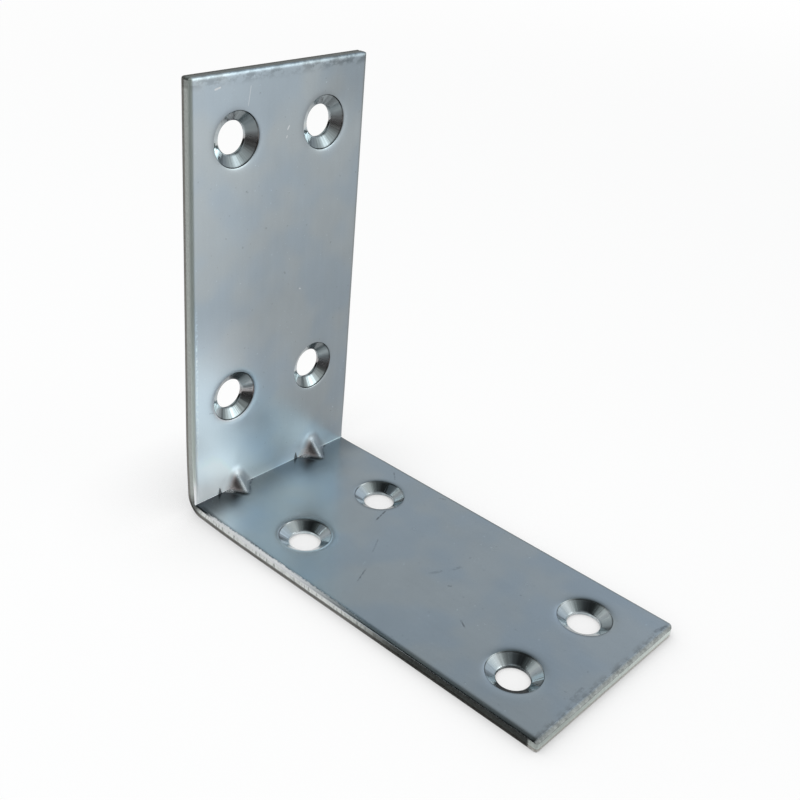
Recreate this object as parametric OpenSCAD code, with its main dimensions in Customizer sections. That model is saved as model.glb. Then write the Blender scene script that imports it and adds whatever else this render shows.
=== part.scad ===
// Corner brace bracket: one strip of sheet steel folded to a right angle,
// with eight countersunk screw holes and two ribs pressed through the bend.
// Frame in mm: X along the base, Y across the strip, Z up.
// The underside of the base lies on z = 0, and the box is centred on x = 0 and y = 0.

/* [Sheet] */
// Length of the base, outside face to free end, mm
base_length = 80; // [60:1:150]
// Height of the upright, underside to free end, mm
upright_length = 79; // [60:1:150]
// Width of the strip, mm
strip_width = 38; // [32:0.5:60]
// Thickness of the sheet, mm
sheet = 2; // [1.5:0.1:3]
// Rounding of the four corners in plan, mm
corner_radius = 0.8; // [0.3:0.1:4]

/* [Bend] */
// Radius in the crease, mm
bend_inside_radius = 0.3; // [0.2:0.1:1.5]
// Radius round the outside of the fold, mm
bend_outside_radius = 3.6; // [2.5:0.1:4]

/* [Edges] */
// Rounding that the shear leaves on the inner faces, mm
shear_roll = 0.6; // [0.2:0.1:0.9]
// Break on the outer faces, mm
edge_break = 0.25; // [0.1:0.05:0.5]

/* [Screw holes] */
// Straight bore, mm
bore_diameter = 5.6; // [3:0.1:6]
// Countersink where it meets the sheet, mm
sink_diameter = 9.3; // [8:0.1:10.5]
// Straight bore left below the countersink, mm
bore_length = 0.6; // [0.4:0.1:1]
// Straight step above the cone, mm
sink_step = 0.15; // [0.05:0.05:0.3]
// Width of the pulled-in lip around the countersink, mm
lip_width = 0.8; // [0.3:0.1:1]
// Depth of the pulled-in lip, mm
lip_depth = 0.08; // [0.02:0.02:0.2]
// Distance between the two holes of a row, mm
hole_pitch = 19.2; // [14:0.1:21]
// Row beside the bend, from the outside face, mm
near_row = 21.5; // [18:0.5:26]
// Row beside the end of the base, from that end, mm
base_end_row = 11.5; // [8:0.1:16]
// Row beside the end of the upright, from that end, mm
upright_end_row = 10.8; // [8:0.1:16]

/* [Ribs] */
// Distance between the two ribs, mm
rib_pitch = 19.2; // [14:0.1:21]
// Reach of a crest along each leg, from the crease, mm
rib_reach = 3.7; // [3:0.1:6]
// Width of a rib in the crease, mm
rib_width = 9.6; // [7:0.2:12]
// Rounding of the crest, mm
rib_crest_radius = 0.8; // [0.5:0.1:1.5]
// Hollow of the flanks, which run out into the crease, mm
rib_flank_radius = 6; // [5:0.5:12]
// Metal left between a crest and the dent behind it, mm
rib_metal = 1.8; // [1.4:0.1:2.4]
// Angle between the flanks of the dent that the punch leaves behind a rib, degrees
dent_angle = 90; // [70:5:110]
// Rounding at the bottom of the dent, mm
dent_radius = 0.5; // [0.3:0.1:1]

/* [Hidden] */
$fn = 96;
over = 1;
bite = 0.3;
right_angle = 90;
half_turn = 180;
seam = 8;
diagonal = sqrt(2);
reach = 2 * max(base_length, upright_length);
half_width = strip_width / 2;
crest_height = rib_reach / diagonal;
base_rows = [near_row, base_length - base_end_row];
upright_rows = [near_row, upright_length - upright_end_row];

// Waste outside a rounding of radius r in a corner of the stock at the origin,
// for stock that lies in +x and +y
module corner_waste(r) {
    difference() {
        translate([-over, -over]) square(r + over);
        translate([r, r]) circle(r);
    }
}

// Side view of the folded sheet, base along +x and upright along +y
module side_view() {
    difference() {
        union() {
            square([base_length, sheet]);
            square([sheet, upright_length]);
        }
        corner_waste(bend_outside_radius);
        translate([base_length, 0]) rotate(right_angle) corner_waste(edge_break);
        translate([base_length, sheet]) rotate(half_turn) corner_waste(edge_break);
        translate([0, upright_length]) rotate(-right_angle) corner_waste(edge_break);
        translate([sheet, upright_length]) rotate(half_turn) corner_waste(edge_break);
    }
    crease();
}

// Metal that rounds the crease
module crease() {
    translate([sheet, sheet]) difference() {
        translate([-bite, -bite]) square(bend_inside_radius + bite);
        translate([bend_inside_radius, bend_inside_radius]) circle(bend_inside_radius);
    }
}

// The folded sheet over its full width, with sharp long edges
module folded_sheet() {
    rotate([right_angle, 0, 0]) linear_extrude(strip_width, center = true) side_view();
}

// The base's side of the plane that halves the fold
module base_side() {
    rotate([0, -right_angle / 2, 0]) translate([0, -reach / 2, -reach]) cube(reach);
}

// A shape of the base, turned over onto the upright
module on_upright() {
    mirror([1, 0, -1]) children();
}

// A shape at the edge in -y, and its mirror image at the edge in +y
module on_both_edges() {
    for (side = [0, 1]) mirror([0, side, 0]) translate([0, -half_width, 0]) children();
}

// Waste along one long edge of a leg: the shear roll inside and the break outside
module edge_waste(length) {
    rotate([right_angle, 0, right_angle]) linear_extrude(length + over) {
        corner_waste(edge_break);
        translate([0, sheet]) mirror([0, 1]) corner_waste(shear_roll);
    }
}

// Waste at one corner of a leg's free end
module corner_of_end(length) {
    translate([length, 0, -over]) mirror([1, 0, 0])
        linear_extrude(sheet + 2 * over) corner_waste(corner_radius);
}

// All waste around one leg, up to the plane that halves the fold
module leg_waste(length) {
    on_both_edges() corner_of_end(length);
    intersection() {
        on_both_edges() edge_waste(length);
        base_side();
    }
}

// One screw hole through the base: bore, cone, step and the pulled-in lip around them
module screw_hole() {
    bore = bore_diameter / 2;
    sink = sink_diameter / 2;
    lip = sink + lip_width;
    rotate_extrude() polygon([
        [0, -over],
        [bore, -over],
        [bore, bore_length],
        [sink, sheet - sink_step],
        [sink, sheet - lip_depth],
        [lip, sheet],
        [lip, sheet + over],
        [0, sheet + over]
    ]);
}

// The four holes of a leg, in two rows
module leg_holes(rows) {
    for (row = rows, side = [-1, 1]) translate([row, side * hole_pitch / 2, 0]) screw_hole();
}

// Centre of the circle at distance far from p and near from q, on the left of the way from q to p
function outer_centre(p, far, q, near) =
    let (
        gap = norm(q - p),
        way = (q - p) / gap,
        run = (far * far - near * near + gap * gap) / (2 * gap)
    )
    p + run * way + sqrt(far * far - run * run) * [-way.y, way.x];

// Section of a rib across its crest, from below the crease: a round crest between hollow flanks
module rib_section() {
    crest = [0, crest_height - rib_crest_radius];
    foot = [rib_width / 2, 0];
    hollow = outer_centre(crest, rib_flank_radius + rib_crest_radius * cos(seam), foot, rib_flank_radius);
    difference() {
        polygon([[-foot.x, -bite], [foot.x, -bite], hollow, crest, [-hollow.x, hollow.y]]);
        for (side = [-1, 1]) translate([side * hollow.x, hollow.y]) circle(rib_flank_radius);
    }
    translate(crest) circle(rib_crest_radius);
}

// Section of the punch that drives a rib from behind, its nose under the crest
module punch_section() {
    nose = [0, crest_height - rib_metal - dent_radius];
    half = dent_angle / 2;
    depth = 2 * sheet;
    shoulder = nose + dent_radius * cos(seam) * [cos(half), sin(half)];
    spread = shoulder.x + (shoulder.y + depth) * tan(half);
    polygon([[-spread, -depth], [spread, -depth], shoulder, nose, [-shoulder.x, shoulder.y]]);
    translate(nose) circle(dent_radius);
}

// A section across the crest, run along the direction of the crest at both ribs
module along_crests() {
    for (side = [-1, 1]) translate([sheet, side * rib_pitch / 2, sheet])
        rotate([0, right_angle / 2, 0]) rotate([right_angle, 0, right_angle])
            linear_extrude(reach, center = true) children();
}

// The ribs inside the fold, rooted in the sheet
module ribs() {
    intersection() {
        along_crests() rib_section();
        translate([sheet / 2, -half_width, sheet / 2]) cube([reach, strip_width, reach]);
    }
}

// The dents that the punch leaves behind the ribs
module dents() {
    along_crests() punch_section();
}

// The whole bracket
module bracket() {
    color("silver") translate([-base_length / 2, 0, 0]) difference() {
        union() {
            difference() {
                folded_sheet();
                leg_waste(base_length);
                on_upright() leg_waste(upright_length);
            }
            ribs();
        }
        dents();
        leg_holes(base_rows);
        on_upright() leg_holes(upright_rows);
    }
}

bracket();
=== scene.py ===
"""Corner brace bracket: one steel strip folded to a right angle and zinc plated,
with eight countersunk screw holes and two ribs pressed through the bend.
"""
import functools
import math
from types import SimpleNamespace

import bmesh
import bpy
import numpy as np
from mathutils import Matrix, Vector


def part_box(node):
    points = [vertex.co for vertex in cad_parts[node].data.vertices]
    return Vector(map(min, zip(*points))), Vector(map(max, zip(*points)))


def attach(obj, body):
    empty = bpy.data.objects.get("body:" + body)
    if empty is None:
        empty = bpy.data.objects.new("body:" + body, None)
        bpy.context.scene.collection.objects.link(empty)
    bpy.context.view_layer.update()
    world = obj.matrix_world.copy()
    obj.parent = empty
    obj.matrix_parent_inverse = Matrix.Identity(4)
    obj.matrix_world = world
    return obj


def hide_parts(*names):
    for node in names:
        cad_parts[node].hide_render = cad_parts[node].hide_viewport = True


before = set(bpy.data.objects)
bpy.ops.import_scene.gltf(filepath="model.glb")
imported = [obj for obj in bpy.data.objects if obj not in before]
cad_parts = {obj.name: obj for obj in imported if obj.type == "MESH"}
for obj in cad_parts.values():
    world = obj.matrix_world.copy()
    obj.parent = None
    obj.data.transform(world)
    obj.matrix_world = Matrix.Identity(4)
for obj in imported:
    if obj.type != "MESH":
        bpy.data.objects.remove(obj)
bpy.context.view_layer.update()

MM = 0.001

# Sizes of the strip in millimetres, measured from its outer corner.
low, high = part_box("bracket")
BASE, STRIP, UPRIGHT = [(b - a) / MM for a, b in zip(low, high)]
SHEET = 2.0
INNER_BEND, OUTER_BEND = 0.3, 3.6
HOLE_PITCH, NEAR_ROW = 19.2, 21.5
BASE_END_ROW, UPRIGHT_END_ROW = 11.5, 10.8
BASE_ROWS = (NEAR_ROW, BASE - BASE_END_ROW)
UPRIGHT_ROWS = (NEAR_ROW, UPRIGHT - UPRIGHT_END_ROW)

# Slight changes of form round the fold, each with its reach along the strip. The waist sets in
# at a distance from the middle line and blends over the rest of the width.
WAIST, WAIST_REACH = 0.35, 9.0
WAIST_FROM, WAIST_BLEND = 12.0, 7.0
FLARE, FLARE_REACH = 0.3, 7.0
ROLL_SWELL, SWELL_REACH = 0.5, 7.0

# Sheared edges: how far in the face starts to roll over, and how far it drops at the edge.
NEAR_ROLL, FAR_ROLL, END_ROLL = (0.9, 0.42), (0.4, 0.2), (0.75, 0.34)
BACK_BREAK = (0.14, 0.1)
ROLL_BLEND = 6
CORNERS = {(1, 1): 1.2, (1, -1): 0.5, (-1, 1): 0.35, (-1, -1): 0.5}  # (leg, side): radius

# Ribs pressed across the bend: height and row of each, the half widths of both flanks,
# how far their tails sink below the corner, and how softly they run into the sheet.
RIB_CRESTS = (2.5, 2.6)
RIB_ROWS = (-9.2, 9.75)
RIB_MIDDLE = sum(RIB_ROWS) / 2
RIB_NEAR, RIB_FAR, RIB_SINK = 1.85, 2.15, 0.3
BLEND_CREST, BLEND_SKIRT, BLEND_BASE, LEAST_BLEND = 1.0, 4.6, 0.5, 1e-6
RIB_METAL, DENT_BLEND = 1.8, 0.25
DIAGONAL = np.array([1.0, 0.0, 1.0]) / math.sqrt(2)

# Screw hole from the face inwards as (radius, depth): the dished lip, the rim, the cone and the bore.
# The rings round its mouth on the back have a radius alone.
LIP = [
    (6.4, 0.0), (6.0, 0.004), (5.6, 0.015), (5.3, 0.033),
    (5.05, 0.062), (4.88, 0.093), (4.76, 0.123), (4.69, 0.15),
]
RIM = [(4.655, 0.18), (4.64, 0.22), (4.63, 0.27)]
CONE_TOP, CONE_FOOT, CONE_RINGS = (4.58, 0.31), (2.87, 1.37), 8
CONE = [tuple(ring) for ring in np.linspace(CONE_TOP, CONE_FOOT, CONE_RINGS + 1)]
BORE = [(2.82, 1.43), (2.8, 1.5), (2.8, 1.7), (2.8, 1.9), (2.83, 1.965)]
MOUTH_RADII = (6.4, 5.0, 4.0, 3.3, 2.9)

# Sheared wall: rings as shares of the way from the face to the back, where the fracture starts,
# and how deep the metal is torn below it.
WALL_STEPS = (0.06, 0.2, 0.36, 0.52, 0.62, 0.66, 0.7, 0.8, 0.9, 0.97)
FRACTURE, FRACTURE_RAMP, BACK_RAMP = 0.64, 0.04, 0.1
TEAR, TEAR_WAVES, TEAR_GRAIN = 0.025, 0.05, 0.03
WAVE_POINTS, TEAR_SEED, LEAST_LEAN = 5, 7, 1e-3

# Mesh: a square patch of cells round each hole, with rings between its border and the lip,
# finer rows in the bend, and columns that crowd at the edges.
PATCH_HALF, PATCH_CELLS, PATCH_PARTS = 7.0, 24, (0.66, 0.33)
BEND_ZONE, BEND_STEP = 8.0, 0.25
CREASE_ZONE, CREASE_STEP = 0.6, 0.06
MIDDLE_CELLS = 5
ROLL_STEPS = NEAR_ROLL[0] * (1 - np.cos(np.radians(np.arange(0, 91, 15))))
EDGE_STEPS = np.append(ROLL_STEPS, [1.2, 1.6, 2.0, 2.4])
SHARP_ANGLE = math.radians(40)
VALUES = ["along", "depth", "rib", "hole_u", "hole_v"]
FACE, SINK, WALL = 0, 1, 2  # finishes


class Skin:
    """Points, faces and per-point values of one mesh while it is put together."""

    def __init__(self):
        self.points, self.values, self.count = [], [], 0
        self.quads, self.triangles, self.finish = [], [], []

    def add(self, points, **values):
        """Adds an array of points and returns the array of their numbers."""
        flat = np.asarray(points, float).reshape(-1, 3)
        row = np.zeros((len(flat), len(VALUES)))
        for name, value in values.items():
            row[:, VALUES.index(name)] = np.broadcast_to(value, np.shape(points)[:-1]).ravel()
        self.points.append(flat)
        self.values.append(row)
        numbers = np.arange(self.count, self.count + len(flat)).reshape(np.shape(points)[:-1])
        self.count += len(flat)
        return numbers

    def net(self, numbers, ring=False, finish=FACE):
        """Quads between the rows of a grid of point numbers, closed round if it is a ring."""
        if ring:
            numbers = np.concatenate([numbers, numbers[:, :1]], 1)
        corners = [numbers[:-1, :-1], numbers[:-1, 1:], numbers[1:, 1:], numbers[1:, :-1]]
        quads = np.stack(corners, -1).reshape(-1, 4)
        self.quads.append(quads[(quads >= 0).all(1)])
        self.finish.append(np.full(len(self.quads[-1]), finish))

    def double(self, coarse, fine):
        """Triangles from a row of points to a row with a midpoint between every two."""
        left, right, a, mid, b = coarse[:-1], coarse[1:], fine[:-2:2], fine[1::2], fine[2::2]
        for corners in ((left, a, mid), (left, mid, right), (right, mid, b)):
            self.triangles.append(np.stack(corners, -1))

    def mesh(self, name):
        """A Blender mesh in metres, with the values as point attributes and the finishes as slots."""
        mesh = bpy.data.meshes.new(name)
        quads, triangles = np.concatenate(self.quads), np.concatenate(self.triangles)
        mesh.from_pydata((np.concatenate(self.points) * MM).tolist(), [], quads.tolist() + triangles.tolist())
        finish = np.concatenate(self.finish + [np.full(len(triangles), FACE)])
        mesh.polygons.foreach_set("material_index", finish)
        values = np.concatenate(self.values)
        for k, value in enumerate(VALUES):
            mesh.attributes.new(value, "FLOAT", "POINT").data.foreach_set("value", values[:, k])
        return mesh


def path(s, setback, radius):
    """Point and normal, into the angle, at distance s from the middle of the fold.
    s is negative up the upright.
    """
    angle = np.clip(np.abs(s) / radius, 0, math.pi / 4) - 3 * math.pi / 4
    straight = np.maximum(np.abs(s) - radius * math.pi / 4, 0)
    x = setback + radius * (1 + np.cos(angle)) + straight
    z = setback + radius * (1 + np.sin(angle))
    nx, nz = -np.cos(angle), -np.sin(angle)
    up = np.asarray(s) < 0
    x, z, nx, nz = np.where(up, z, x), np.where(up, x, z), np.where(up, nz, nx), np.where(up, nx, nz)
    zero = np.zeros_like(x)
    return np.stack([x, zero, z], -1), np.stack([nx, zero, nz], -1)


def fold(q, back):
    """Point and normal of the face, or of the back, at station q: the distance along a leg
    from the outer corner, negative up the upright.
    """
    setback, radius = (0.0, OUTER_BEND) if back else (SHEET, INNER_BEND)
    zone = BEND_ZONE - setback - radius * (1 - math.pi / 4)
    s = np.where(np.abs(q) < BEND_ZONE, q * zone / BEND_ZONE, q + np.sign(q) * (zone - BEND_ZONE))
    points, normals = path(s, setback, radius)
    if not back:
        points = points + normals * (FLARE * np.exp(-np.abs(q) / FLARE_REACH))[..., None]
    return points, normals


def rib_height(y):
    """Height of the ribs over the sharp inner corner, along the diagonal."""
    left = y < RIB_MIDDLE
    off = y - np.where(left, *RIB_ROWS)
    width = np.where(off < 0, RIB_NEAR, RIB_FAR)
    return (np.where(left, *RIB_CRESTS) + RIB_SINK) / (1 + (off / width) ** 2) - RIB_SINK


def press(points, y, back):
    """How far the fold is pushed out along the diagonal where the ribs are: up to the height
    of the rib or of the dent, rounded off within a blend on either side.
    """
    corner = np.array([SHEET, 0, SHEET])
    height = (points - corner) @ DIAGONAL
    target = rib_height(y) - (RIB_METAL if back else 0)
    gap = height - target
    if back:
        blend = DENT_BLEND
    else:
        share = np.clip(target / RIB_CRESTS[1], 0, 1)
        base_side = np.clip(0.5 + (points[..., 0] - points[..., 2]) / 2, 0, 1)
        skirt = share * (BLEND_CREST + BLEND_SKIRT * (1 - share))
        blend = skirt * (1 + (BLEND_BASE - 1) * base_side) + LEAST_BLEND
    return np.maximum(-gap, 0) + np.maximum(blend - np.abs(gap), 0) ** 2 / (4 * blend)


def roll(distance, shape):
    """Drop of a surface that rounds over at an edge, at a distance from that edge."""
    reach, drop = shape
    return drop * (1 - np.sqrt(1 - np.clip(1 - distance / reach, 0, 1) ** 2))


def drop_at(q, y, back):
    """How far the face, or the back, has dropped at a point of the strip, next to its sheared edges."""
    side = STRIP / 2 - np.abs(y)
    end = np.where(q > 0, BASE - q, UPRIGHT + q)
    if back:
        return np.maximum(roll(side, BACK_BREAK), roll(end, BACK_BREAK))
    swell = 1 + ROLL_SWELL * np.exp(-((q / SWELL_REACH) ** 2))
    sides = np.where(y < 0, roll(side / swell, NEAR_ROLL), roll(side, FAR_ROLL))
    return (sides**ROLL_BLEND + roll(end, END_ROLL) ** ROLL_BLEND) ** (1 / ROLL_BLEND)


def trim(q, y):
    """Moves strip coordinates for the rounded corners and for the waist at the bend."""
    for (leg, side), radius in CORNERS.items():
        length = BASE if leg > 0 else UPRIGHT
        u = (leg * q - length + radius) / radius
        v = (side * y - STRIP / 2 + radius) / radius
        here = (u > 0) & (v > 0)
        round_u = u * np.sqrt(np.clip(1 - v**2 / 2, 0, 1))
        round_v = v * np.sqrt(np.clip(1 - u**2 / 2, 0, 1))
        q = np.where(here, leg * (length + radius * (round_u - 1)), q)
        y = np.where(here, side * (STRIP / 2 + radius * (round_v - 1)), y)
    near_edge = np.clip((np.abs(y) - WAIST_FROM) / WAIST_BLEND, 0, 1) ** 2
    return q, y - np.sign(y) * WAIST * np.exp(-((q / WAIST_REACH) ** 2)) * near_edge


def place(q, y, back, drop=0.0):
    """Points of the face or the back at strip coordinates, with ribs, rolls and corners."""
    drop = drop_at(q, y, back) + drop
    q, y = trim(q, y)
    points, normals = fold(q, back)
    points = points + press(points, y, back)[..., None] * DIAGONAL
    points[..., 1] = y
    return points + normals * (drop if back else -drop)[..., None]


def rib_push(q, y, back):
    """How far the face is pushed out by the ribs at a point of the strip. The back counts as not pushed."""
    return 0 if back else press(fold(q, False)[0], y, False)


def steps(a, b, size):
    """Even steps of about a size from a to b, at least two."""
    return np.linspace(a, b, max(2, round(abs(b - a) / size)) + 1)


PATCH_STEPS = np.linspace(-PATCH_HALF, PATCH_HALF, PATCH_CELLS + 1)
EDGE_WIDTH = STRIP / 2 - HOLE_PITCH / 2 - PATCH_HALF
half_columns = np.concatenate([
    np.linspace(0, HOLE_PITCH / 2 - PATCH_HALF, MIDDLE_CELLS + 1)[1:-1],
    HOLE_PITCH / 2 + PATCH_STEPS,
    (STRIP / 2 - EDGE_STEPS * EDGE_WIDTH / EDGE_STEPS[-1])[::-1][1:],
])
COLUMNS = np.concatenate([-half_columns[::-1], [0], half_columns])
FINE_COLUMNS = np.sort(np.concatenate([COLUMNS, (COLUMNS[1:] + COLUMNS[:-1]) / 2]))
ring_angles = math.pi / 4 * (np.arange(4 * PATCH_CELLS) * 2 / PATCH_CELLS - 1)
TURN = np.stack([np.cos(ring_angles), np.sin(ring_angles)], -1)


def leg_stations(length, rows):
    """Stations of one leg from the bend zone to its free end."""
    pitch = 2 * PATCH_HALF / PATCH_CELLS
    return np.concatenate([
        steps(BEND_ZONE, rows[0] - PATCH_HALF, pitch)[:-1],
        rows[0] + PATCH_STEPS,
        steps(rows[0] + PATCH_HALF, rows[1] - PATCH_HALF, pitch)[1:-1],
        rows[1] + PATCH_STEPS,
        steps(rows[1] + PATCH_HALF, length - EDGE_STEPS[-1], pitch)[1:-1],
        (length - EDGE_STEPS)[::-1],
    ])


def square(numbers):
    """The border of a square grid, counter-clockwise from its first corner."""
    return np.concatenate([numbers[-1, :-1], numbers[:0:-1, -1], numbers[0, :0:-1], numbers[:-1, 0]])


def hole_patch(skin, leg, back, numbers, q, y, row, side):
    """Rings from the border of a patch in to its hole. Returns the innermost and the hole's place."""
    outer = np.stack([square(np.abs(q) - abs(row)), square(y - side)], -1)
    shape = [(radius, 0) for radius in MOUTH_RADII] if back else LIP
    circle = shape[0][0] * TURN
    rings = [(circle + (outer - circle) * part, 0) for part in PATCH_PARTS]
    rings += [(radius * TURN, depth) for radius, depth in shape]
    found = [square(numbers)]
    for spot, drop in rings:
        u, v = spot.T
        q_ring, y_ring = row + leg * u, side + v
        points = place(q_ring, y_ring, back, drop)
        found.append(skin.add(points, along=q_ring, depth=SHEET if back else drop, hole_u=u, hole_v=v))
    skin.net(np.array(found), ring=True)
    return found[-1], row, side


def leg_face(skin, leg, stations, rows, back):
    """One leg's flat on the face or the back. Returns its grid and the innermost ring of each hole."""
    q, y = np.meshgrid(leg * stations, COLUMNS, indexing="ij")
    keep = np.ones(q.shape, bool)
    patches = []
    for row in rows:
        for side in (-HOLE_PITCH / 2, HOLE_PITCH / 2):
            i = np.argmin(np.abs(stations - row)) - PATCH_CELLS // 2
            j = np.argmin(np.abs(COLUMNS - side)) - PATCH_CELLS // 2
            patches.append((np.s_[i : i + PATCH_CELLS + 1, j : j + PATCH_CELLS + 1], leg * row, side))
            keep[i + 1 : i + PATCH_CELLS, j + 1 : j + PATCH_CELLS] = False
    grid = np.full(q.shape, -1)
    points, push = place(q[keep], y[keep], back), rib_push(q[keep], y[keep], back)
    grid[keep] = skin.add(points, along=q[keep], depth=SHEET if back else 0, rib=push)
    skin.net(grid)
    holes = [hole_patch(skin, leg, back, grid[at], q[at], y[at], row, side) for at, row, side in patches]
    return grid, holes


def hole_wall(skin, leg, face_hole, back_hole):
    """The countersink and bore between the face and the back."""
    first, row, side = face_hole
    rings = [first]
    for radius, depth in RIM + CONE + BORE:
        u, v = radius * TURN.T
        points, normals = fold(row + leg * u, False)
        points[:, 1] = side + v
        rings.append(skin.add(points - depth * normals, along=row + leg * u, depth=depth, hole_u=u, hole_v=v))
    skin.net(np.array(rings + [back_hole[0]]), ring=True, finish=SINK)


def edge_wall(skin, face, back):
    """The sheared wall between the outline of the face and that of the back: burnished, then torn."""
    points, values = np.concatenate(skin.points), np.concatenate(skin.values)
    a, b, along = points[face], points[back], values[face, VALUES.index("along")]
    tangent, across = np.roll(a, -1, 0) - np.roll(a, 1, 0), b - a
    out = np.cross(across, tangent)
    out /= np.linalg.norm(out, axis=1)[:, None]
    # The sides of the strip face away from its middle line; the ends lean neither way and stay as they are.
    away = (a - points.mean(0)) * [0, 1, 0] + out * LEAST_LEAN
    out *= np.sign(np.einsum("ij,ij->i", out, away))[:, None]
    draw = np.random.default_rng(TEAR_SEED)
    smooth = np.ones(WAVE_POINTS) / WAVE_POINTS
    margin = WAVE_POINTS - 1
    waves = np.convolve(draw.random(len(face) + 2 * margin), smooth, "same")[margin:-margin]
    rings = [face]
    for share in WALL_STEPS:
        torn = np.clip((share - FRACTURE) / FRACTURE_RAMP, 0, 1) * np.clip((1 - share) / BACK_RAMP, 0, 1)
        recess = torn * (TEAR + TEAR_WAVES * waves + TEAR_GRAIN * draw.random(len(face)))
        spot = a + across * share - out * recess[:, None]
        rings.append(skin.add(spot, along=along, depth=SHEET * share))
    skin.net(np.array(rings + [back]), ring=True, finish=WALL)


def build_bracket():
    """The whole strip: both legs and the bend on the face and on the back, then the walls between them."""
    skin = Skin()
    legs = {
        1: (leg_stations(BASE, BASE_ROWS), BASE_ROWS),
        -1: (leg_stations(UPRIGHT, UPRIGHT_ROWS), UPRIGHT_ROWS),
    }
    crease = steps(0, CREASE_ZONE, CREASE_STEP)[1:]
    half_bend = np.concatenate([crease, steps(CREASE_ZONE, BEND_ZONE, BEND_STEP)[1:-1]])
    bend = np.concatenate([-half_bend[::-1], [0], half_bend])
    outlines, holes = [], {1: [], -1: []}
    for back in (False, True):
        grids = {}
        for leg, (stations, rows) in legs.items():
            grids[leg], found = leg_face(skin, leg, stations, rows, back)
            holes[leg].append(found)
        q, y = np.meshgrid(bend, FINE_COLUMNS, indexing="ij")
        middle = skin.add(place(q, y, back), along=q, depth=SHEET if back else 0, rib=rib_push(q, y, back))
        skin.net(middle)
        skin.double(grids[-1][0], middle[0])
        skin.double(grids[1][0], middle[-1])
        near = np.concatenate([grids[-1][::-1, 0], middle[:, 0], grids[1][:, 0]])
        far = np.concatenate([grids[1][::-1, -1], middle[::-1, -1], grids[-1][:, -1]])
        outlines.append(np.concatenate([near, grids[1][-1, 1:-1], far, grids[-1][-1, -2:0:-1]]))
    for leg, (face_holes, back_holes) in holes.items():
        for face_hole, back_hole in zip(face_holes, back_holes):
            hole_wall(skin, leg, face_hole, back_hole)
    edge_wall(skin, *outlines)
    return skin


def object_from(name, data):
    """A new object in the scene."""
    made = bpy.data.objects.new(name, data)
    bpy.context.scene.collection.objects.link(made)
    return made


bracket = object_from("bracket_plated", build_bracket().mesh("bracket_plated"))
bracket.data.transform(Matrix.Translation((-BASE / 2 * MM, 0, 0)))
work = bmesh.new()
work.from_mesh(bracket.data)
bmesh.ops.recalc_face_normals(work, faces=work.faces)
work.to_mesh(bracket.data)
work.free()
bracket.data.shade_smooth()
bracket.data.set_sharp_from_angle(angle=SHARP_ANGLE)
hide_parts("bracket")
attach(bracket, "root")


class Nodes:
    """Short calls for a node tree: each makes one node, sets or links its inputs and returns an output."""

    def __init__(self, tree):
        self.tree = tree
        tree.nodes.clear()

    def node(self, kind, inputs=(), out=0, **settings):
        node = self.tree.nodes.new(kind)
        for name, value in settings.items():
            setattr(node, name, value)
        for key, value in dict(inputs).items():
            if isinstance(value, bpy.types.NodeSocket):
                self.tree.links.new(value, node.inputs[key])
            else:
                node.inputs[key].default_value = value
        return node.outputs[out]

    def math(self, operation, *values, clamp=False):
        return self.node("ShaderNodeMath", enumerate(values), operation=operation, use_clamp=clamp)

    def vector(self, operation, *values, out=0):
        return self.node("ShaderNodeVectorMath", enumerate(values), out=out, operation=operation)

    def scaled_vector(self, vector, factor):
        return self.node("ShaderNodeVectorMath", {0: vector, "Scale": factor}, operation="SCALE")

    def stretch(self, vector, factors):
        return self.vector("MULTIPLY", vector, factors)

    def combine(self, *values):
        return self.node("ShaderNodeCombineXYZ", enumerate(values))

    def ramp(self, value, low, high, a=0.0, b=1.0):
        """value from low to high taken smoothly to a to b."""
        inputs = {0: value, 1: low, 2: high, 3: a, 4: b}
        return self.node("ShaderNodeMapRange", inputs, interpolation_type="SMOOTHSTEP")

    def band(self, value, centre, half):
        """1 where value is at the centre, down to 0 at half on either side."""
        return self.ramp(self.math("ABSOLUTE", self.minus(value, centre)), half, 0.0)

    def minus(self, a, b):
        return self.math("SUBTRACT", a, b)

    def scaled(self, value, factor):
        return self.math("MULTIPLY", value, factor)

    def sum(self, *values):
        return functools.reduce(lambda a, b: self.math("ADD", a, b), values)

    def product(self, *values):
        return functools.reduce(lambda a, b: self.math("MULTIPLY", a, b), values)

    def most(self, *values):
        return functools.reduce(lambda a, b: self.math("MAXIMUM", a, b), values)

    def weighed(self, start, *parts):
        """start plus each (value, weight) of the parts, multiplied."""
        return self.sum(start, *(self.scaled(value, weight) for value, weight in parts))

    def mix(self, factor, a, b):
        return self.node("ShaderNodeMix", {0: factor, 6: a, 7: b}, out=2, data_type="RGBA")

    def noise(self, vector, scale, detail=3.0, roughness=0.55):
        inputs = {"Vector": vector, "Scale": scale, "Detail": detail, "Roughness": roughness}
        return self.node("ShaderNodeTexNoise", inputs)

    def value(self, name):
        return self.node("ShaderNodeAttribute", out=2, attribute_name=name)

    def object_place(self):
        return self.node("ShaderNodeTexCoord", out=3)

    def surface(self, shader, kind="ShaderNodeOutputMaterial"):
        output = self.tree.nodes.new(kind)
        self.tree.links.new(shader, output.inputs["Surface"])

    def metal(self, colour, metallic, rough, height):
        """The surface of a material, with a bump of a height in mm."""
        bump = self.node("ShaderNodeBump", {"Strength": 1.0, "Distance": MM, "Height": height})
        inputs = {"Base Color": colour, "Metallic": metallic, "Roughness": rough, "Normal": bump}
        self.surface(self.node("ShaderNodeBsdfPrincipled", inputs))


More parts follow.
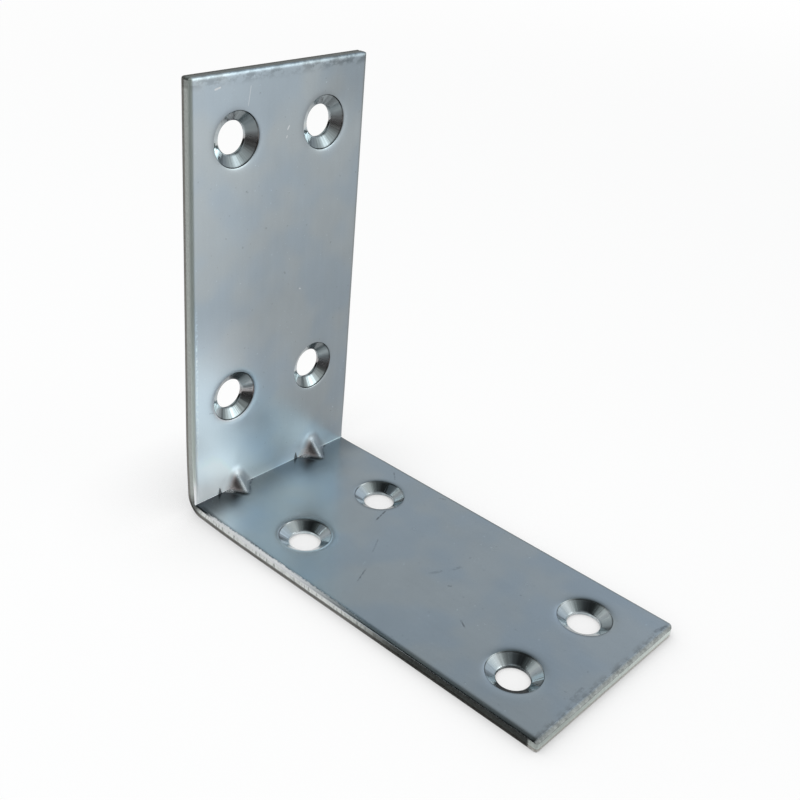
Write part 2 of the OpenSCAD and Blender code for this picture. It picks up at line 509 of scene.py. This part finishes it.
class Strip:
    """Where a shading point lies on the strip, in mm, and on which leg, as outputs in a node tree."""

    def __init__(self, n):
        self.across = n.scaled(n.node("ShaderNodeSeparateXYZ", {0: n.object_place()}, out=1), 1 / MM)
        self.along, self.depth = n.value("along"), n.value("depth")
        self.point = n.combine(self.along, self.across, self.depth)
        self.upright = n.ramp(self.along, 0.2, -0.2)
        self.base = n.minus(1.0, self.upright)
        self.near, self.far = n.sum(self.across, STRIP / 2), n.minus(STRIP / 2, self.across)
        self.top, self.end = n.sum(self.along, UPRIGHT), n.minus(BASE, self.along)

    def from_rib(self, n):
        """Distance from the middle of the nearer rib, positive towards the far edge."""
        off = n.minus(self.across, RIB_MIDDLE)
        past_row = n.minus(n.math("ABSOLUTE", off), (RIB_ROWS[1] - RIB_ROWS[0]) / 2)
        return n.product(past_row, n.math("SIGN", off))


def new_material(name):
    made = bpy.data.materials.new(name)
    made.use_nodes = True
    return made, Nodes(made.node_tree)


def grey(value):
    return (value, value, value, 1)


# Marks of use and handling, in mm along and across the strip: start, end, half width, strength.
DARK_MARKS = [
    ((26.0, 6.4), (26.8, 3.2), 0.22, 0.8),
    ((31.2, -1.0), (33.0, -4.2), 0.16, 0.35),
    ((35.6, -8.6), (37.0, -12.0), 0.2, 0.7),
    ((43.9, -1.2), (44.6, 0.6), 0.5, 0.22),
    ((45.4, 1.8), (46.2, 4.0), 0.45, 0.25),
    ((48.2, -1.4), (48.4, -1.2), 0.35, 0.4),
    ((55.4, -6.8), (57.0, -7.7), 0.22, 0.55),
    ((18.2, 17.2), (19.9, 15.6), 0.2, 0.5),
    ((30.0, 17.4), (30.8, 17.8), 0.3, 0.35),
    ((78.2, -8.2), (78.0, -5.0), 0.45, 0.3),
    ((78.6, 15.2), (79.2, 17.4), 0.5, 0.4),
    ((-59.2, -7.5), (-59.1, -7.3), 0.26, 0.45),
    ((-52.0, -3.2), (-51.9, -3.0), 0.24, 0.35),
    ((-42.7, 1.5), (-42.5, 1.7), 0.26, 0.35),
    ((-20.0, -15.2), (-19.6, -13.8), 0.22, 0.3),
]
BRIGHT_MARKS = [
    ((-76.7, -14.1), (-76.9, -13.1), 0.22, 0.8),
    ((-68.8, 1.5), (-68.3, 1.2), 0.2, 0.7),
    ((-67.2, 1.1), (-66.9, 1.0), 0.16, 0.6),
    ((-38.6, 5.3), (-38.5, 5.5), 0.2, 0.6),
    ((-73.4, -7.4), (-76.4, -6.9), 0.12, 0.4),
]

# The dark notch beside each rib, painted shade in the crease: distance from the rib's middle, height and half
# width.
NOTCH_OFFSET, NOTCH_TOP, NOTCH_HALF = -3.9, 2.3, 0.6

# Colours of the zinc, linear.
ZINC_BLUE, ZINC_PALE = (0.435, 0.51, 0.57, 1), (0.475, 0.53, 0.56, 1)
# Of the two colours on the next line, the first is a painted highlight: the paler zinc of the upright's lower
# left.
ZINC_PAINTED_GLOW, ZINC_ON_RIBS = (0.53, 0.55, 0.57, 1), (0.57, 0.51, 0.51, 1)
ZINC_STAINED, ZINC_WORN = (0.37, 0.39, 0.38, 1), (0.36, 0.40, 0.38, 1)
DARK_MARK_AND_SHADE, BRIGHT_MARK_AND_HIGHLIGHT = (0.07, 0.08, 0.09, 1), (0.93, 0.94, 0.96, 1)
# Of these, the second and third colours of the countersinks are painted reflections.
SINK_ZINC, SINK_BROWN_REFLECTION, SINK_BRIGHT_REFLECTION = (0.48, 0.54, 0.565), (0.3, 0.2, 0.18, 1), (0.8, 0.84, 0.86, 1)
EDGE_BURNISHED, EDGE_TORN, EDGE_WHITE = (0.40, 0.43, 0.41, 1), (0.33, 0.32, 0.30, 1), (0.93, 0.95, 0.93, 1)

# Brightness and roughness of each finish before its zones and textures are added,
# and the depth from which the sheared edge is torn.
FACE_LEVEL, FACE_ROUGH = 0.84, 0.2
SINK_LEVEL, SINK_ROUGH = 0.95, 0.09
EDGE_LEVEL, EDGE_ROUGH, EDGE_LEAST = 0.55, 0.32, 0.06
TORN_FROM = 1.5


def marks(n, strip, segments):
    """1 on short marks of the face, each (along, across) to (along, across), half width and strength."""
    flat = n.stretch(strip.point, (1, 1, 0))
    total = 0.0
    for start, end, half, strength in segments:
        way = np.append(np.subtract(end, start), 0)
        from_start = n.vector("SUBTRACT", flat, start + (0,))
        share = n.math("ADD", n.vector("DOT_PRODUCT", from_start, way / (way @ way), out=1), 0.0, clamp=True)
        gap = n.vector("LENGTH", n.vector("SUBTRACT", from_start, n.scaled_vector(way, share)), out=1)
        total = n.most(total, n.ramp(gap, half, 0.3 * half, 0.0, strength))
    return total


# How much each zone of the face adds to its brightness: painted highlights where the weight is positive,
# painted shade where it is negative.
ZONE_WEIGHTS = {
    "painted_glow": 0.5, "lean": 0.13, "middle": 0.16, "top_right": -0.2, "crease_up": 0.15, "corner_up": 0.65,
    "by_ribs": 0.22, "by_far_rib": 0.4, "fold_line": 0.8, "crease_base": -0.45, "corner_base": -0.35,
    "middle_base": -0.3,
}


def face_zones(n, strip, inner, flat):
    """Zones of the flat face where highlights and shade are painted, lighter or darker than the rest, by
    name, each from 0 to 1.
    """
    along, across, from_rib = strip.along, strip.across, strip.from_rib(n)
    on_upright = functools.partial(n.product, strip.upright, flat)
    on_base = functools.partial(n.product, strip.base, flat)
    return {
        # Painted highlight: the lower left of the upright is painted brighter and paler.
        "painted_glow": on_upright(n.ramp(along, -42, -24), n.ramp(across, -1, -17)),
        "lean": on_upright(n.ramp(across, 0, -17)),
        "middle": on_upright(n.band(along, -24, 15), n.band(across, 0, 12)),
        "top_right": n.product(inner, n.ramp(along, -64, -76), n.ramp(across, 4, 14)),
        "crease_up": on_upright(n.ramp(along, -3, -0.5)),
        "corner_up": on_upright(n.ramp(along, -15, -1), n.ramp(across, -6, -15)),
        "by_ribs": on_upright(n.ramp(along, -14, -4), n.ramp(from_rib, -8, -3), n.ramp(from_rib, 1, -1)),
        "by_far_rib": on_upright(n.ramp(along, -8, -2), n.ramp(across, 0, 5), n.ramp(across, 9.5, 8)),
        "fold_line": on_upright(n.ramp(along, -0.8, -0.35), n.ramp(across, 11, 15, 0.4, 1.0)),
        "crease_base": on_base(n.ramp(along, 11, 1)),
        "corner_base": on_base(n.ramp(along, 12, 3), n.ramp(across, -8, -14)),
        "middle_base": on_base(n.band(along, 7, 7), n.band(across, 8, 8)),
    }


def edge_wear(n, strip, inner):
    """Wear, stains and bright specks along the edges of the face, each from 0 to 1."""
    along, point = strip.along, strip.point
    speckle = n.ramp(n.noise(point, 1.9, 3.0, 0.7), 0.47, 0.6)
    blotch = n.ramp(n.noise(n.stretch(point, (1, 0.6, 1)), 0.8, 3.0, 0.65), 0.42, 0.6)
    flecks = n.ramp(n.noise(n.combine(along, n.scaled(strip.near, 0.4)), 2.4, 3.0, 0.75), 0.44, 0.56)
    strewn = n.most(flecks, n.ramp(strip.near, 0.55, 0.35))
    return SimpleNamespace(
        near_line=n.product(strip.upright, n.band(strip.near, 1.0, 0.35), n.ramp(along, -44, -34), speckle),
        near_worn=n.product(strip.upright, inner, n.ramp(strip.near, 0.75, 0.35), n.ramp(along, -3, -8)),
        near_flecks=n.product(strip.base, inner, strewn, n.ramp(strip.near, 0.75, 0.5),
                              n.ramp(along, 3.5, 7), n.ramp(along, 48, 24)),
        top_stain=n.product(n.ramp(strip.top, 2.4, 0.8), blotch),
        far_stain=n.ramp(strip.far, 0.75, 0.25),
        end_stain=n.product(n.ramp(strip.end, 1.9, 0.5), blotch),
        end_specks=n.product(n.ramp(strip.end, 1.0, 0.4), speckle),
        end_worn=n.product(strip.base, inner, n.ramp(strip.end, 0.8, 0.35)),
    )


def rib_wear_and_shade(n, strip, rib):
    """Bruised zinc on the ribs, its crest and near foot brightened partly as a painted highlight; painted
    shade on each rib's core and in the dark line and notch at the foot of each; all from 0 to 1.
    """
    along, from_rib, push = strip.along, strip.from_rib(n), n.value("rib")
    crushed = n.ramp(n.noise(strip.point, 3.6, 3.0, 0.7), 0.4, 0.62)
    crest = n.product(rib, n.band(from_rib, 0.1, 0.5))
    foot = n.product(n.ramp(from_rib, -3.8, -3.2), n.ramp(from_rib, -1.0, -2.0), n.ramp(along, -2.6, -1.6),
                     n.ramp(along, 2.6, 1.6), n.ramp(push, 0.02, 0.15))
    broken = n.ramp(n.noise(strip.point, 1.1, 3.0, 0.7), 0.38, 0.5)
    notch_gap = n.math("ABSOLUTE", n.minus(from_rib, NOTCH_OFFSET))
    notch_width = n.node("ShaderNodeMapRange", {0: along, 1: -NOTCH_TOP, 2: 0.4, 3: 0.02, 4: NOTCH_HALF})
    return SimpleNamespace(
        near_flank=n.product(rib, n.ramp(from_rib, -0.1, -0.8)),
        # Painted shade: the core of each rib, darkened.
        core=n.product(n.ramp(push, 0.4, 1.2), n.band(from_rib, -0.8, 1.0)),
        dusted=n.product(rib, crushed),
        # Crushed zinc on the crest and near foot of each rib, brightened partly as a painted highlight.
        worn=n.product(n.most(crest, foot), crushed),
        # Painted shade: a broken dark line along each rib's foot on the base.
        outline=n.product(strip.base, n.band(push, 0.11, 0.12), n.ramp(along, 7.5, 6.0), broken),
        # Painted shade: the dark notch in the crease beside each rib.
        notch=n.product(n.ramp(n.math("DIVIDE", notch_gap, notch_width), 1.3, 0.7),
                        n.ramp(along, -NOTCH_TOP, -0.8 * NOTCH_TOP), n.ramp(along, 0.8, 0.2)),
    )


def face_finish():
    """Bright zinc over rolled sheet: cloudy, faintly drawn lengthwise, pitted, marked and worn, with
    highlights and shade painted into zones of the face and onto the ribs.
    """
    made, n = new_material("zinc_plated_steel")
    strip = Strip(n)
    point = strip.point
    cloud = n.noise(point, 0.11, 2.0)
    haze = n.noise(n.stretch(point, (0.5, 1, 1)), 0.5, 3.0)
    drawn = n.noise(n.stretch(point, (0.03, 1.2, 1)), 1.0, 4.0)
    grain = n.noise(point, 3.0, 4.0, 0.6)
    pits = n.ramp(n.noise(point, 1.3, 2.0, 0.45), 0.69, 0.78)
    glints = n.ramp(n.noise(n.vector("ADD", point, (40, 0, 0)), 1.7, 2.0, 0.4), 0.71, 0.77)
    rib = n.ramp(n.value("rib"), 0.1, 0.9)
    inner = n.ramp(strip.depth, 1.5, 0.5)
    zones = face_zones(n, strip, inner, n.product(inner, n.minus(1.0, rib)))
    edges, ribs = edge_wear(n, strip, inner), rib_wear_and_shade(n, strip, rib)

    # The zones paint highlights and shade into the brightness.
    level = n.weighed(FACE_LEVEL, *((zones[name], weight) for name, weight in ZONE_WEIGHTS.items()))
    level = n.weighed(level, (cloud, 0.12), (drawn, 0.05), (haze, 0.07), (grain, 0.1), (pits, -0.22),
                      (glints, 0.25))
    # Painted shade darkens each rib's core; the crushed crest and near foot are brightened, partly as a
    # painted highlight.
    level = n.weighed(level, (edges.near_line, 0.6), (edges.top_stain, -0.3), (edges.end_stain, -0.3),
                      (edges.end_specks, 0.35), (ribs.core, -0.75), (ribs.dusted, 0.12), (ribs.worn, 0.7))

    gaps = n.ramp(n.noise(point, 1.2, 3.0, 0.7), 0.42, 0.56, 0.1, 0.85)
    dark = n.product(inner, marks(n, strip, DARK_MARKS), gaps)
    # Painted shade: the notch beside each rib and the line along its foot on the base are dark.
    dark = n.most(dark, n.scaled(ribs.notch, 0.9), n.scaled(ribs.outline, 0.7))
    bright = n.product(inner, n.most(marks(n, strip, BRIGHT_MARKS), edges.near_flecks))
    stain = n.most(n.scaled(edges.far_stain, 0.6), n.scaled(edges.end_stain, 0.4), edges.end_worn)
    colour = n.mix(n.ramp(n.noise(point, 0.07, 2.0), 0.4, 0.6), ZINC_BLUE, ZINC_PALE)
    # Painted highlight: the lower left of the upright takes a paler colour.
    colour = n.mix(zones["painted_glow"], colour, ZINC_PAINTED_GLOW)
    colour = n.mix(ribs.near_flank, colour, ZINC_ON_RIBS)
    colour = n.mix(stain, colour, ZINC_STAINED)
    colour = n.mix(edges.near_worn, colour, ZINC_WORN)
    colour = n.mix(dark, n.scaled_vector(colour, level), DARK_MARK_AND_SHADE)
    # Bright marks and flecks, and the ribs' crushed crest and foot, whose brightness is partly a painted
    # highlight.
    colour = n.mix(n.most(bright, n.scaled(ribs.worn, 0.85)), colour, BRIGHT_MARK_AND_HIGHLIGHT)

    # Close above the crease the zinc is milky, and stays light where it would mirror the dark base.
    milky = n.weighed(0.0, (zones["corner_up"], 0.7), (zones["by_ribs"], 0.35), (zones["by_far_rib"], 0.35))
    by_crease = n.product(milky, n.ramp(strip.along, -9, -2))
    metallic = n.weighed(1.0, (by_crease, -1.0), (rib, -0.25), (ribs.worn, -0.4), (edges.near_flecks, -0.8),
                         (edges.end_worn, -0.7), (edges.near_worn, -0.6))
    rough = n.weighed(FACE_ROUGH, (strip.upright, 0.05), (edges.end_worn, 0.25), (edges.near_worn, 0.2),
                      (haze, 0.1), (bright, 0.3), (ribs.worn, 0.15), (rib, 0.18))
    height = n.weighed(0.0, (n.noise(point, 0.3, 2.0), 0.012), (grain, 0.0016), (drawn, 0.0006),
                       (dark, -0.02), (ribs.worn, 0.02))
    n.metal(colour, metallic, rough, height)
    return made


# Reflections painted into the countersinks, dark, paler, glaring, warm and bright: directions from the middle
# of a hole, as (away from the bend, towards the far edge), and how sharply each is bounded.
PAINTED_SHADE_UP, PAINTED_SHADE_DOWN = ((0.87, 0.5), 6.0), ((-0.95, -0.3), 6.0)
PALE_REFLECTION, GLARE, BROWN_REFLECTION = ((0.45, 0.89), 8.0), ((-0.1, -0.99), 8.0), ((-0.2, 0.98), 16.0)
BRIGHT_REFLECTIONS = (((-0.98, 0.2), 18.0), ((0.42, 0.91), 18.0))


def toward(n, spoke, lobe):
    """1 where the spoke points along the lobe, falling off to either side."""
    direction, power = lobe
    facing = n.most(n.vector("DOT_PRODUCT", spoke, direction + (0,), out=1), 0.0)
    return n.math("POWER", facing, power)


def sink_finish():
    """Polished countersinks, turned in fine rings with chatter from the cutter, with light and dark sectors,
    a darker rim and reflections in set directions painted into the colour.
    """
    made, n = new_material("zinc_countersink")
    strip = Strip(n)
    flat = n.combine(n.value("hole_u"), n.value("hole_v"))
    radius = n.vector("LENGTH", flat, out=1)
    spoke = n.vector("NORMALIZE", flat)
    own = n.vector("ADD", n.stretch(spoke, (1.6, 1.6, 1)), n.stretch(strip.point, (0.03, 0.03, 0)))
    # Painted reflection: light and dark sectors round each cone.
    painted_sector = n.ramp(n.noise(own, 1.0, 2.0), 0.46, 0.54)
    chatter = n.noise(n.stretch(own, (2.5, 2.5, 1)), 1.0, 2.0)
    turned = n.noise(n.combine(n.scaled(radius, 5.0)), 1.0, 3.0)
    # Painted shade: the rim of each countersink is darkened.
    rim = n.ramp(strip.depth, 0.36, 0.28)
    foot = n.band(strip.depth, CONE_FOOT[1], 0.1)
    painted_shade_up, painted_shade_down, pale_reflection, glare, brown_reflection = [
        n.product(strip.upright, toward(n, spoke, lobe)) for lobe in (PAINTED_SHADE_UP, PAINTED_SHADE_DOWN, PALE_REFLECTION, GLARE, BROWN_REFLECTION)
    ]
    bright_reflection = n.product(strip.base, n.most(*(toward(n, spoke, lobe) for lobe in BRIGHT_REFLECTIONS)))

    # The lobes on the upright paint dark, paler and glaring reflections into the brightness.
    level = n.weighed(SINK_LEVEL, (painted_sector, 0.25), (turned, 0.1), (rim, -0.7), (foot, 0.1), (painted_shade_up, -0.6),
                      (painted_shade_down, -0.55), (pale_reflection, 0.1), (glare, 0.8))
    colour = n.scaled_vector(SINK_ZINC, level)
    # Painted reflections: a warm dark colour on the upright's countersinks and bright streaks on the base's.
    colour = n.mix(n.scaled(brown_reflection, 0.5), colour, SINK_BROWN_REFLECTION)
    colour = n.mix(n.scaled(bright_reflection, 0.7), colour, SINK_BRIGHT_REFLECTION)
    metallic = n.weighed(1.0, (pale_reflection, -0.75), (bright_reflection, -0.4))
    n.metal(colour, metallic, SINK_ROUGH, n.weighed(0.0, (chatter, 0.05), (turned, 0.0015)))
    return made


def wall_finish():
    """The sheared edges: burnished, scored across the sheet and white along the near edge, then torn."""
    made, n = new_material("zinc_sheared_edge")
    strip = Strip(n)
    along, depth = strip.along, strip.depth
    run = n.combine(n.sum(along, strip.across), n.scaled(depth, 0.12))
    score = n.noise(run, 2.2, 3.0, 0.7)
    grain = n.noise(strip.point, 2.6, 4.0, 0.65)
    level_depth = n.weighed(depth, (n.noise(run, 1.1, 2.0), 0.3))
    torn = n.ramp(level_depth, TORN_FROM, TORN_FROM + 0.1)
    fracture_line = n.band(level_depth, TORN_FROM, 0.11)
    roll_line = n.band(depth, 0.1, 0.16)
    near = n.ramp(strip.across, 0, -14)
    scored = n.product(near, n.ramp(along, 0.5, 4), n.ramp(along, 54, 34), n.ramp(score, 0.36, 0.52))
    white = n.product(scored, n.ramp(level_depth, 1.3, 1.1))
    end, top = n.ramp(strip.end, 2.0, 1.4), n.ramp(strip.top, 2.0, 1.4)
    late = n.product(near, n.ramp(along, 40, 56), n.ramp(level_depth, 1.2, 1.0))
    bend = n.product(near, n.band(along, 0.0, 3.6))
    # Painted shade: the lower part of the near edge along the base is darker, standing for the floor's
    # contact shadow mirrored in it.
    below = n.product(near, n.ramp(along, 2, 8), n.ramp(level_depth, 1.1, 1.3), n.minus(1.0, end))

    level = n.weighed(EDGE_LEVEL, (score, 0.45), (grain, 0.5), (fracture_line, -0.6), (roll_line, -0.15),
                      (late, -0.3), (bend, -0.75), (end, 0.9), (below, -0.2), (top, -0.3))
    colour = n.scaled_vector(n.mix(torn, EDGE_BURNISHED, EDGE_TORN), n.most(level, EDGE_LEAST))
    colour = n.mix(white, colour, EDGE_WHITE)
    metallic = n.ramp(n.most(white, n.scaled(end, 0.85)), 0, 1, 0.85, 0.15)
    rough = n.weighed(EDGE_ROUGH, (torn, 0.2), (score, 0.15))
    n.metal(colour, metallic, rough, n.weighed(0.0, (score, 0.05), (grain, 0.012), (fracture_line, -0.05)))
    return made


# The slots follow the numbers of the finishes: FACE, SINK, WALL.
for finish in (face_finish, sink_finish, wall_finish):
    bracket.data.materials.append(finish())

# A white floor that keeps the shadow of the part. Where the metal mirrors it, it is dark towards the viewer,
# lighter on both sides of that and brightest at one azimuth. Angles are in degrees, and the pairs are
# measured from that azimuth.
FLOOR_HALF, FLOOR_WHITE = 3.0, 0.95
SHOWN_WHITE, NEAR_FLOOR, FAR_FLOOR = 0.88, 0.12, 0.8
GLOW_AZIMUTH, GLOW_SPREAD, GLOW_WHITE = 36, 17, 0.37
SIDE_ANGLES, SIDE_WHITE = (-61, -6), 0.5
FRONT_ANGLES, FRONT_WHITE = (-90, -132), 0.85
DARK_WHITE = 0.05
CONTACT_REACH, CONTACT_SHOWN, CONTACT_MIRRORED = 0.025, 0.3, 0.6


def floor_finish():
    """White to the camera with a faint shadow, and with the brightness of the surroundings in reflections."""
    made, n = new_material("floor_white")
    ray = n.node("ShaderNodeLightPath").node.outputs
    seen, mirrored = n.most(ray["Is Camera Ray"], ray["Is Transmission Ray"]), ray["Is Glossy Ray"]
    spot = n.object_place()
    xy = n.node("ShaderNodeSeparateXYZ", {0: spot}).node.outputs
    turn = n.minus(n.math("ARCTAN2", xy["Y"], xy["X"]), math.radians(GLOW_AZIMUTH))
    off = n.math("POWER", n.math("DIVIDE", turn, math.radians(GLOW_SPREAD)), 2.0)
    side, front = [n.ramp(turn, *np.radians(angles)) for angles in (SIDE_ANGLES, FRONT_ANGLES)]
    glow = n.weighed(DARK_WHITE, (n.math("EXPONENT", n.scaled(off, -1.0)), GLOW_WHITE), (side, SIDE_WHITE),
                     (front, FRONT_WHITE))
    contact = n.node("ShaderNodeAmbientOcclusion", {"Distance": CONTACT_REACH}, samples=2)
    lifted = n.mix(n.ramp(mirrored, 0, 1, CONTACT_SHOWN, CONTACT_MIRRORED), contact, grey(1.0))
    strength = n.sum(seen, n.product(mirrored, glow))
    light = n.node("ShaderNodeEmission", {"Color": lifted, "Strength": strength})
    shown = n.ramp(n.vector("LENGTH", spot, out=1), NEAR_FLOOR, FAR_FLOOR, SHOWN_WHITE, 1.0)
    share = n.math("ADD", n.product(seen, shown), mirrored, clamp=True)
    paint = n.node("ShaderNodeBsdfDiffuse", {"Color": grey(FLOOR_WHITE)})
    n.surface(n.node("ShaderNodeMixShader", {0: share, 1: paint, 2: light}))
    return made


corners = [(x * FLOOR_HALF, y * FLOOR_HALF, 0) for x, y in ((-1, -1), (1, -1), (1, 1), (-1, 1))]
floor_mesh = bpy.data.meshes.new("floor")
floor_mesh.from_pydata(corners, [], [(0, 1, 2, 3)])
floor_mesh.materials.append(floor_finish())
floor = object_from("floor", floor_mesh)

# Soft studio surroundings: (azimuth, elevation, sharpness, brightness) of each light patch.
SKY = [
    (31, 21, 45, (1.35, 1.46, 1.48)),
    (38, 14, 10, (1.36, 1.42, 1.39)),
    (92, 30, 12, (0.69, 0.75, 0.83)),
    (140, 32, 12, (0.53, 0.55, 0.56)),
    (39, 3, 30, (0.40, 0.39, 0.38)),
    (-170, 42, 14, (0.34, 0.38, 0.37)),
    (44, 38, 40, (0.34, 0.36, 0.39)),
    (-60, 30, 10, (0.28, 0.29, 0.28)),
    (60, 57, 15, (0.27, 0.30, 0.28)),
    (5, 12, 20, (0.25, 0.25, 0.23)),
    (-25, 42, 8, (0.24, 0.25, 0.26)),
]


def add_surroundings():
    """White to the camera, the light patches to everything else."""
    world = bpy.data.worlds.new("studio")
    bpy.context.scene.world = world
    world.use_nodes = True
    n = Nodes(world.node_tree)
    way = n.node("ShaderNodeTexCoord")
    light = (0.0, 0.0, 0.0)
    for azimuth, elevation, sharpness, colour in SKY:
        a, e = math.radians(azimuth), math.radians(elevation)
        aim = (math.cos(a) * math.cos(e), math.sin(a) * math.cos(e), math.sin(e))
        facing = n.most(n.vector("DOT_PRODUCT", way, aim, out=1), 0.0)
        light = n.vector("ADD", light, n.scaled_vector(colour, n.math("POWER", facing, sharpness)))
    camera_ray = n.node("ShaderNodeLightPath")
    sky = n.node("ShaderNodeBackground", {"Color": light})
    paper = n.node("ShaderNodeBackground", {"Color": grey(1.0)})
    n.surface(n.node("ShaderNodeMixShader", {0: camera_ray, 1: sky, 2: paper}), "ShaderNodeOutputWorld")


add_surroundings()

# A large soft lamp overhead for the floor and its shadow.
lamp_data = bpy.data.lights.new("softbox", "AREA")
lamp_data.shape, lamp_data.size, lamp_data.energy = "SQUARE", 0.5, 5.2
lamp = object_from("softbox", lamp_data)
lamp.location = (-0.15, -0.2, 0.8)
lamp.rotation_euler = (math.radians(-14), math.radians(-10), 0)
lamp.visible_glossy = False

camera_data = bpy.data.cameras.new("camera")
camera_data.lens, camera_data.sensor_width, camera_data.clip_start = 50.7986, 36, 0.005
camera = object_from("camera", camera_data)
camera.location = (0.09753, -0.124878, 0.121265)
camera.rotation_euler = [math.radians(angle) for angle in (60.8734, -4.6095, 42.6376)]
bpy.context.scene.camera = camera
bpy.context.scene.view_settings.view_transform = "Standard"
